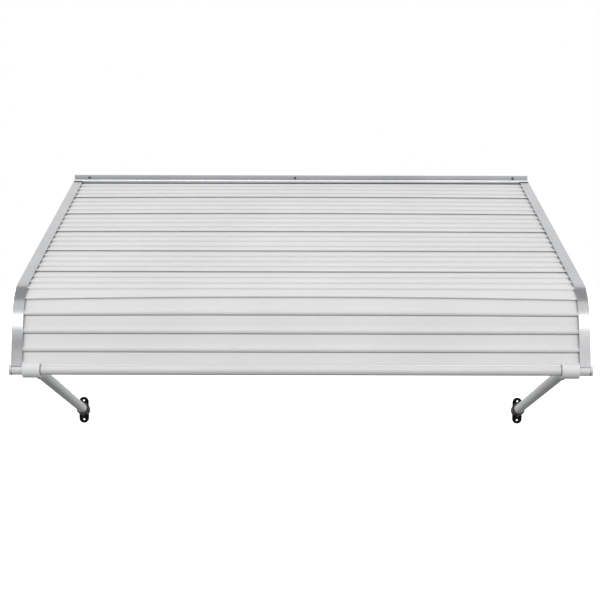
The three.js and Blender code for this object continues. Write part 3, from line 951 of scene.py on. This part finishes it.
def eased_end(radius, length, ease, steps=5):
    """Profile of a solid rod whose far edge is rounded over."""
    points = [(0, 0), (radius, 0)]
    for k in range(steps + 1):
        angle = math.pi / 2 * k / steps
        points.append((radius - ease + ease * math.cos(angle), length - ease + ease * math.sin(angle)))
    return points + [(0, length)]


def eased_rod(radius, length, ease):
    far = eased_end(radius, length, ease)[2:-1]
    near = [(r, length - z) for r, z in reversed(far)]
    return [(0, 0)] + near + far + [(0, length)]


for place, side in sides.items():
    inner = bar_point(collar_inner if side > 0 else -collar_outer)
    sleeve = eased_rod(collar_radius, collar_length, collar_chamfer)
    bm = turned(bmesh.new(), sleeve, inner, along_x, bar_sides)
    boss = arm_turned(side, eased_end(arm_hole + boss_wall, boss_length, collar_chamfer))
    bm = combined(bm, boss, "UNION")
    through = turned(bmesh.new(), rod_profile(bar_hole, 4 * collar_length),
                     inner - along_x * collar_length, along_x, bar_sides)
    bm = combined(bm, through, "DIFFERENCE")
    socket = turned(bmesh.new(), rod_profile(arm_hole, boss_length), along_arm(side, arm_start - gap),
                    arm_direction(side), arm_sides)
    bm = combined(bm, socket, "DIFFERENCE")
    make_piece(f"arm_collar_look_{place}", bm, collar_paint, f"arm_{place}",
               f"arm_collar_{place}")

# Support arms: drawn aluminium tubes, left in mill finish. Each is pushed into its collar's socket at
# the top, and into the cup of its wall bracket at the foot.
arm_wall = 0.0015
cup_length = 0.050
cup_floor = 0.014
arm_end = arm_span - cup_floor - gap
arm_bore = arm_radius - arm_wall
arm_tone = (0.68, 0.70, 0.695, 1)
arm_shade = (0.58, 0.597, 0.592, 1)
arm_bump = 0.000008
arm_values = {"Tone": arm_tone, "Shade": arm_shade, "Roughness": 0.5, "Lines": 1.0}
arm_aluminium = finish_surface("arm_aluminium", drawn_metal, arm_values, arm_bump, Metallic=0.35)
arm_profile = [(arm_bore, arm_start), (arm_radius, arm_start), (arm_radius, arm_end),
               (arm_bore, arm_end)]
for place, side in sides.items():
    make_piece(f"support_arm_look_{place}", arm_turned(side, arm_profile), arm_aluminium,
               f"arm_{place}", f"support_arm_{place}")

# Wall brackets: black powder-coated castings. A flange with round ends and two countersunk holes
# carries a cup that points along the arm.
flange_width = 0.033
flange_height = 0.091
flange_thickness = 0.005
flange_hole = 0.0032
hole_spacing = 0.066
countersink = 0.0014
cup_radius = 0.0215
bushing_wall = 0.0023
bushing_length = 0.026
overcut = 0.002
into_wall = Vector((0, 1, 0))
cup_mouth = arm_span - cup_length
casting_ease = 0.0008
cup_ease = 0.0012
hole_sides = 40
black_tone = (0.006, 0.006, 0.006, 1)
black_shade = (0.011, 0.011, 0.011, 1)
black_bump = 0.00008
# Width and grey of the cup's rim band, which is both wear and a painted highlight.
rim_band_width = 0.0008
rubbed_and_highlit_grey = (0.16, 0.16, 0.16, 1)


def build_worn_and_highlit_rim():
    """The cup's mouth in grey: the black coat rubbed down to metal, and a painted highlight on its edge.
    """
    group, place, across, mask = mask_tree("worn_and_highlit_rim")
    axes = split_axes(group, place)
    start = arm_top(1)
    aim = arm_direction(1)
    away = add_math(group, "MULTIPLY", add_math(group, "SUBTRACT", across, start.x), aim.x)
    for axis, origin, slope in (("Y", start.y, aim.y), ("Z", start.z, aim.z)):
        part = add_math(group, "MULTIPLY", add_math(group, "SUBTRACT", axes[axis], origin), slope)
        away = add_math(group, "ADD", away, part)
    near = add_range(group, away, cup_mouth + rim_band_width / 2, cup_mouth + rim_band_width, 1.0, 0.0)
    patchy = add_range(group, add_noise(group, place, 90.0, 2.0), 0.3, 0.5, 0.55, 1.0)
    link(group, add_math(group, "MULTIPLY", near, patchy), mask)
    return group


black_values = {"Tone": black_tone, "Shade": black_shade, "Roughness": 0.48, "Peel": 1.0}
bracket_black = finish_surface("bracket_black", baked_paint, black_values, black_bump,
                               Specular_IOR_Level=0.12)
# Grey at the cup's mouth: rubbed coat and a painted highlight on the rim's edge.
lay_over(bracket_black, place_mask(bracket_black, build_worn_and_highlit_rim()), rubbed_and_highlit_grey)


def obround(width, height, steps=20):
    """An upright outline with round ends, as (x, z) pairs about its middle."""
    radius = width / 2
    straight = height / 2 - radius
    points = []
    for sign, first in ((1, 0), (-1, math.pi)):
        for k in range(steps + 1):
            angle = first + math.pi * k / steps
            points.append((radius * math.cos(angle), sign * straight + radius * math.sin(angle)))
    return points


def build_bracket(side):
    center = wall_center(side)
    bm = bmesh.new()
    rings = []
    insets = (0, 0, casting_ease * 0.3, casting_ease)
    depths = (0, flange_thickness - casting_ease, flange_thickness - insets[2], flange_thickness)
    for depth, inset in zip(depths, insets):
        outline = obround(flange_width - 2 * inset, flange_height - 2 * inset)
        rings.append([(center.x + x, -depth, center.z + z) for x, z in outline])
    sweep(bm, rings, depths)
    mouth = along_arm(side, cup_mouth)
    inward = arm_direction(side)
    deep = cup_length + cup_radius
    cup_profile = [(r, deep - z) for r, z in eased_end(cup_radius, deep, cup_ease)]
    bm = combined(bm, turned(bmesh.new(), cup_profile, mouth, inward, arm_sides), "UNION")
    behind = bmesh.new()
    bmesh.ops.create_cube(behind, size=4 * flange_height)
    bmesh.ops.translate(behind, verts=behind.verts, vec=center + into_wall * 2 * flange_height)
    bm = combined(bm, behind, "DIFFERENCE")
    start = mouth - inward * overcut
    bores = ((arm_hole, cup_length - cup_floor), (arm_hole + bushing_wall, bushing_length))
    for radius, length in bores:
        bore = turned(bmesh.new(), rod_profile(radius, length + overcut), start, inward, arm_sides)
        bm = combined(bm, bore, "DIFFERENCE")
    wide = flange_hole + countersink
    for end in (-1, 1):
        hole = center + Vector((0, flange_thickness, end * hole_spacing / 2))
        sink = [(0, 0), (flange_hole, 0), (flange_hole, 2 * flange_thickness - countersink),
                (wide, 2 * flange_thickness), (wide, 3 * flange_thickness), (0, 3 * flange_thickness)]
        bm = combined(bm, turned(bmesh.new(), sink, hole, -into_wall, hole_sides), "DIFFERENCE")
    return bm


for place, side in sides.items():
    make_piece(f"wall_bracket_look_{place}", build_bracket(side), bracket_black, f"arm_{place}",
               f"wall_bracket_{place}")

# Arm bushings: black nylon liners, pressed into the cups. Each has a lip that stands at the cup's mouth
# round the arm.
bushing_lip = 0.0012
lip_ease = 0.0005
nylon_tone = (0.012, 0.012, 0.013, 1)
nylon_shade = (0.02, 0.02, 0.021, 1)
nylon_bump = 0.00006
nylon_values = {"Tone": nylon_tone, "Shade": nylon_shade, "Roughness": 0.55, "Peel": 0.6}
bushing_black = finish_surface("bushing_black", baked_paint, nylon_values, nylon_bump, Metallic=0.0)
liner = arm_hole + bushing_wall - gap
lip = liner + bushing_lip
lip_start = cup_mouth - bushing_lip - gap
liner_end = cup_mouth + bushing_length - gap
bushing_profile = [(arm_hole, lip_start), (lip - lip_ease, lip_start), (lip, lip_start + gap),
                   (lip, cup_mouth - gap), (liner, cup_mouth - gap), (liner, liner_end),
                   (arm_hole, liner_end)]
for place, side in sides.items():
    make_piece(f"arm_bushing_look_{place}", arm_turned(side, bushing_profile), bushing_black,
               f"arm_{place}", f"arm_bushing_{place}")

# Screws: zinc-plated hex heads with a pressed washer. Three hold the header, two join the header's leg
# to the frames, and each arm is locked by one in its collar and one in its bracket's cup.
steel_tone = (0.16, 0.165, 0.17, 1)
steel_shade = (0.09, 0.09, 0.095, 1)
steel_bump = 0.00002
steel_values = {"Tone": steel_tone, "Shade": steel_shade, "Roughness": 0.33, "Lines": 0.5}
screw_steel = finish_surface("screw_steel", drawn_metal, steel_values, steel_bump, Metallic=1.0)
wall_screws = {"left": -0.712, "middle": -0.020, "right": 0.712}
wall_screw_radius = 0.0024
wall_screw_head = 0.0045
wall_head_height = 0.0034
frame_screw_radius = 0.0017
frame_screw_head = 0.0034
frame_screw_length = 0.0075
frame_screw_station = 0.003
set_screw_radius = 0.0022
set_screw_head = 0.004
small_head_height = 0.0022
driver_room = 0.001
screw_height = hood_top + wall_screw_head + driver_room
screw_sides = 32
hex_corners = [(math.cos(math.pi / 3 * k), math.sin(math.pi / 3 * k)) for k in range(6)]


def add_hex_screw(name, seat, direction, shank, length, head, height, body, node):
    """A shank under a pressed washer and a hex head. seat is where the head meets the work, and
    direction points out of it."""
    profile = [(0, -length), (shank * 0.7, -length), (shank, -length + shank * 0.5), (shank, 0),
               (head * 0.97, 0), (head, height * 0.12), (head * 0.8, height * 0.3), (0, height * 0.3)]
    bm = turned(bmesh.new(), profile, seat, direction, screw_sides)
    turn = Vector((0, 0, 1)).rotation_difference(direction).to_matrix()
    rings = []
    for level, reach in ((0.2, 0.72), (0.85, 0.72), (1.0, 0.62)):
        corners = [Vector((head * reach * a, head * reach * b, height * level)) for a, b in hex_corners]
        rings.append([seat + turn @ corner for corner in corners])
    sweep(bm, rings, (0, height * 0.65, height * 0.8))
    make_piece(name, bm, screw_steel, body, node)


for place, x in wall_screws.items():
    seat = Vector((x, -header_wall - gap, screw_height))
    add_hex_screw(f"header_screw_look_{place}", seat, -into_wall, wall_screw_radius, header_wall,
                  wall_screw_head, wall_head_height, "canopy", f"header_screw_{place}")

roof_up = Vector((0, -math.sin(roof_pitch), math.cos(roof_pitch)))
frame_screw_x = canopy_half - frame_wall - (toe_width - frame_wall) / 2
collar_screw_at = (arm_start + boss_length) / 2 + set_screw_head
cup_screw_at = cup_mouth + (cup_length + bushing_length - cup_floor) / 2
for place, side in sides.items():
    y, z = path_point(frame_screw_station, leg_drop - header_wall)
    seat = Vector((side * frame_screw_x, y, z)) - roof_up * gap
    add_hex_screw(f"frame_screw_look_{place}", seat, -roof_up, frame_screw_radius,
                  frame_screw_length, frame_screw_head, small_head_height, "canopy",
                  f"frame_screw_{place}")
    for part, distance, surface in (("collar", collar_screw_at, arm_hole + boss_wall),
                                    ("bracket", cup_screw_at, cup_radius)):
        seat = along_arm(side, distance) + under_arm(side) * (surface + gap)
        add_hex_screw(f"{part}_screw_look_{place}", seat, under_arm(side), set_screw_radius,
                      surface - arm_radius, set_screw_head, small_head_height, f"arm_{place}",
                      f"{part}_screw_{place}")
